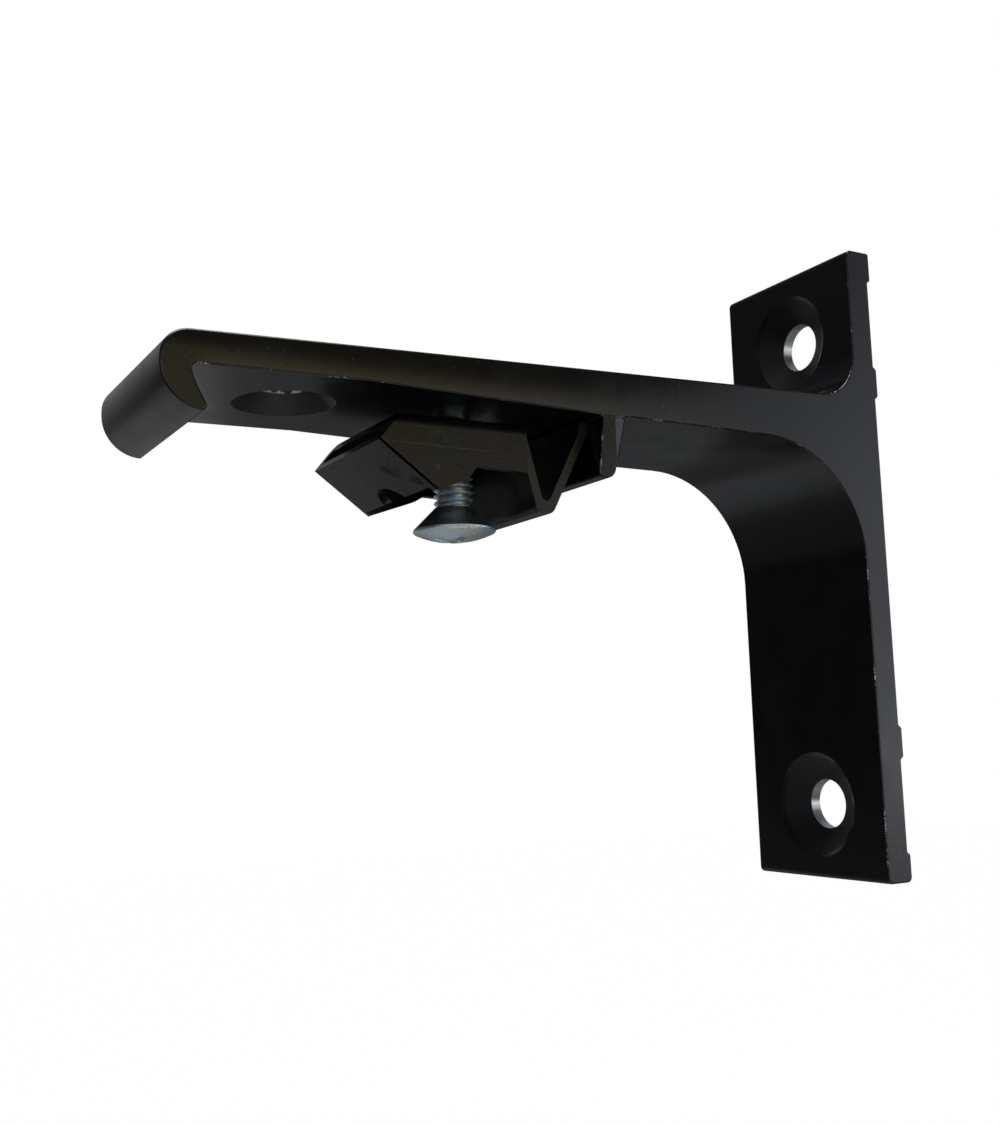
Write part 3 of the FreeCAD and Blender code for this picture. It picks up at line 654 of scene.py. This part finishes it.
# %% [markdown]
# The room is drawn by direction: x, y and z are the parts of the direction to the right, to the
# back and up, each from -1 to 1. The right side is lit from the floor up to a height that rises
# towards the front and the far back, with a window at the far back that is nearly twice as
# bright. The rest is dim. A soft fill behind on the left is there for reflected rays only. It
# shows when the bracket is looked at from above, and it leaves the light on the floor alone.

# %% The room's light, by direction
ROOM_LIGHT, ROOM_HIGH = 0.95, 0.05              # strength on the right, low down and high up
WINDOW, FILL = 1.9, 0.4                         # how much brighter, and strength of the fill
DIM_LOW, DIM_HIGH = 0.03, 0.09                  # strength elsewhere, low down and high up
WARM, COOL = "#ffecb0", "#ebf2ff"


def right_side(tree, x, y, z):
    """The strength of the lit side: bright to the right, up to a height that changes with y."""
    right = add(tree, "MapRange", SMOOTH, Value=x, From_Min=0.1, From_Max=0.6)
    window = add(tree, "MapRange", SMOOTH, Value=y, From_Min=0.70, From_Max=0.80,
                 To_Min=1.0, To_Max=WINDOW)
    front = add(tree, "MapRange", SMOOTH, Value=y, From_Min=0.42, From_Max=0.30,
                To_Min=0.0, To_Max=0.10)
    back = add(tree, "MapRange", SMOOTH, Value=y, From_Min=0.57, From_Max=0.64,
               To_Min=0.0, To_Max=0.12)
    rise = add(tree, "Math", MINUS, _0=add(tree, "Math", MINUS, _0=z, _1=front), _1=back)
    low = add(tree, "MapRange", SMOOTH, Value=rise, From_Min=0.0, From_Max=0.38,
              To_Min=ROOM_LIGHT, To_Max=ROOM_HIGH)
    return add(tree, "Math", TIMES, _0=add(tree, "Math", TIMES, _0=right, _1=window), _1=low)


def left_fill(tree, x, y, z):
    """The strength of the fill behind on the left and above, for reflected rays only."""
    behind = add(tree, "MapRange", SMOOTH, Value=y, From_Min=0.05, From_Max=0.35,
                 To_Min=0.0, To_Max=FILL)
    left = add(tree, "MapRange", SMOOTH, Value=x, From_Min=0.05, From_Max=-0.25)
    above = add(tree, "MapRange", SMOOTH, Value=z, From_Min=0.1, From_Max=0.35)
    fill = add(tree, "Math", TIMES, _0=behind, _1=above)
    for part in (left, add(tree, "LightPath").outputs["Is Glossy Ray"]):
        fill = add(tree, "Math", TIMES, _0=fill, _1=part)
    return fill


def room_colour(tree, x, y):
    """Warm from the right and a little to the back, and cool everywhere else."""
    back = add(tree, "MapRange", Value=y, From_Min=0.42, From_Max=0.66)
    front = add(tree, "MapRange", SMOOTH, Value=y, From_Min=0.22, From_Max=0.02)
    left = add(tree, "MapRange", SMOOTH, Value=x, From_Min=0.5, From_Max=0.1)
    cool = back
    for part in (left, front):
        cool = add(tree, "Math", LARGER, _0=cool, _1=part)
    return add(tree, "Mix", IN_COLOUR, _0=cool, _6=linear(WARM), _7=linear(COOL)).outputs[2]


# %% The world
world = bpy.data.worlds.new("studio_world")
bpy.context.scene.world = world
world.use_nodes = True
sky = world.node_tree
sky.nodes.clear()
x, y, z = add(sky, "SeparateXYZ", Vector=add(sky, "TexCoord").outputs["Generated"]).outputs
strength = add(sky, "MapRange", SMOOTH, Value=z, From_Min=0.0, From_Max=0.4,
               To_Min=DIM_LOW, To_Max=DIM_HIGH)
for part in (left_fill(sky, x, y, z), right_side(sky, x, y, z)):
    strength = add(sky, "Math", LARGER, _0=part, _1=strength)
room = add(sky, "Background", Color=room_colour(sky, x, y), Strength=strength)
white = add(sky, "Background", Color=(1, 1, 1, 1), Strength=1.0)
path = add(sky, "LightPath").outputs
past = add(sky, "Math", LARGER, _0=path["Is Camera Ray"], _1=path["Is Transmission Ray"])
mixed = add(sky, "MixShader", _0=past, _1=room, _2=white)
add(sky, "OutputWorld", Surface=mixed)
print("world:", len(sky.nodes), "nodes")

# %% Lamps


def add_panel(name, place, aim, size, radiance, colour, spread=180):
    """Hang a soft panel of some width and height at a place, facing a point, with a radiance.

    A flat lamp's power is its radiance times pi times its area. A spread below 180 degrees
    narrows the beam. Places and sizes are in metres here, since the panels stand far out.
    """
    data = bpy.data.lights.new(name, "AREA")
    data.shape = "RECTANGLE"
    data.size, data.size_y = size
    data.energy = radiance * math.pi * size[0] * size[1]
    data.spread = math.radians(spread)
    data.color = linear(colour)[:3]
    lamp = bpy.data.objects.new(name, data)
    lamp.location = Vector(place)
    lamp.rotation_mode = "QUATERNION"
    lamp.rotation_quaternion = (Vector(aim) - Vector(place)).to_track_quat("-Z", "Y")
    lamp.visible_camera = False
    bpy.context.scene.collection.objects.link(lamp)
    print(name, round(data.energy, 3), "W")


add_panel("overhead_panel", place=(0.12, -0.05, 0.45), aim=(0.12, -0.05, 0.0),
          size=(0.3, 0.3), radiance=1.4, colour="#ffffff", spread=60)
add_panel("left_panel", place=(-0.5, -0.08, 0.01), aim=(0.0, -0.08, 0.01),
          size=(0.335, 0.48), radiance=0.21, colour="#fffffa")
add_panel("right_panel", place=(0.8, 0.62, -0.13), aim=(0.0, 0.0, -0.13),
          size=(0.9, 0.26), radiance=0.75, colour="#f6f8ff")
add_panel("screw_card", place=(-0.08, -0.02, -0.065), aim=(0.0, -0.05, 0.0),
          size=(0.05, 0.05), radiance=0.2, colour="#eef6ff")

# %% View settings
bpy.context.scene.view_settings.view_transform = "Standard"
